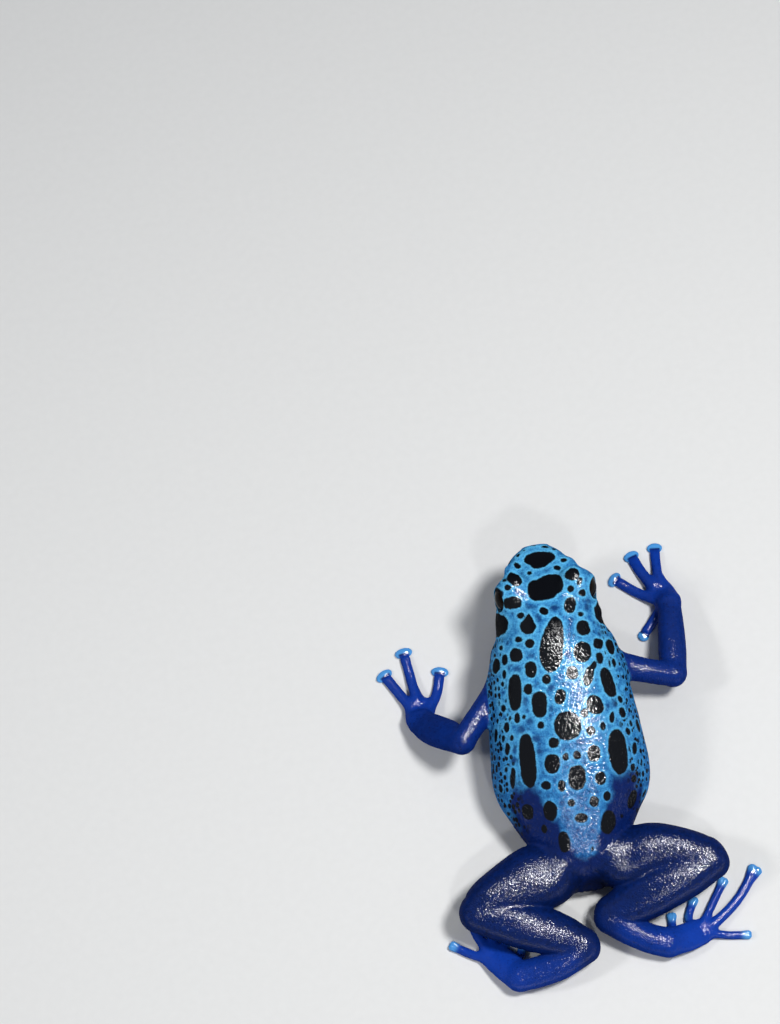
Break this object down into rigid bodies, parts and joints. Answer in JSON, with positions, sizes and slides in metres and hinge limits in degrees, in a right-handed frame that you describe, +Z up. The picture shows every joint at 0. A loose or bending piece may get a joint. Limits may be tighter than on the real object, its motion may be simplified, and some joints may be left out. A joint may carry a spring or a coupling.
{
  "type": "blue poison dart frog model",
  "caption": "Life-size still model of a blue poison dart frog sitting with spread hind legs, for display, a terrarium scene or teaching",
  "frame": {"origin": "centre of the footprint, on the floor the frog sits on", "axes": "+Y towards the head, +X towards the frog's right side, +Z up"},
  "size_m": [0.046, 0.0582, 0.0166],
  "materials": {
    "skin_back": "moist granular skin, azure with black spots",
    "skin_limbs": "moist granular skin, dark royal blue",
    "eye": "wet, glossy, near black"
  },
  "bodies": {
    "root": {"head": "skin_back", "trunk": "skin_back", "eye_left": "eye", "eye_right": "eye", "upper_arm_left": "skin_limbs", "forearm_left": "skin_limbs", "hand_left": "skin_limbs", "upper_arm_right": "skin_limbs", "forearm_right": "skin_limbs", "hand_right": "skin_limbs", "thigh_left": "skin_limbs", "shank_left": "skin_limbs", "tarsus_left": "skin_limbs", "foot_left": "skin_limbs", "thigh_right": "skin_limbs", "shank_right": "skin_limbs", "tarsus_right": "skin_limbs", "foot_right": "skin_limbs"}
  },
  "joints": []
}
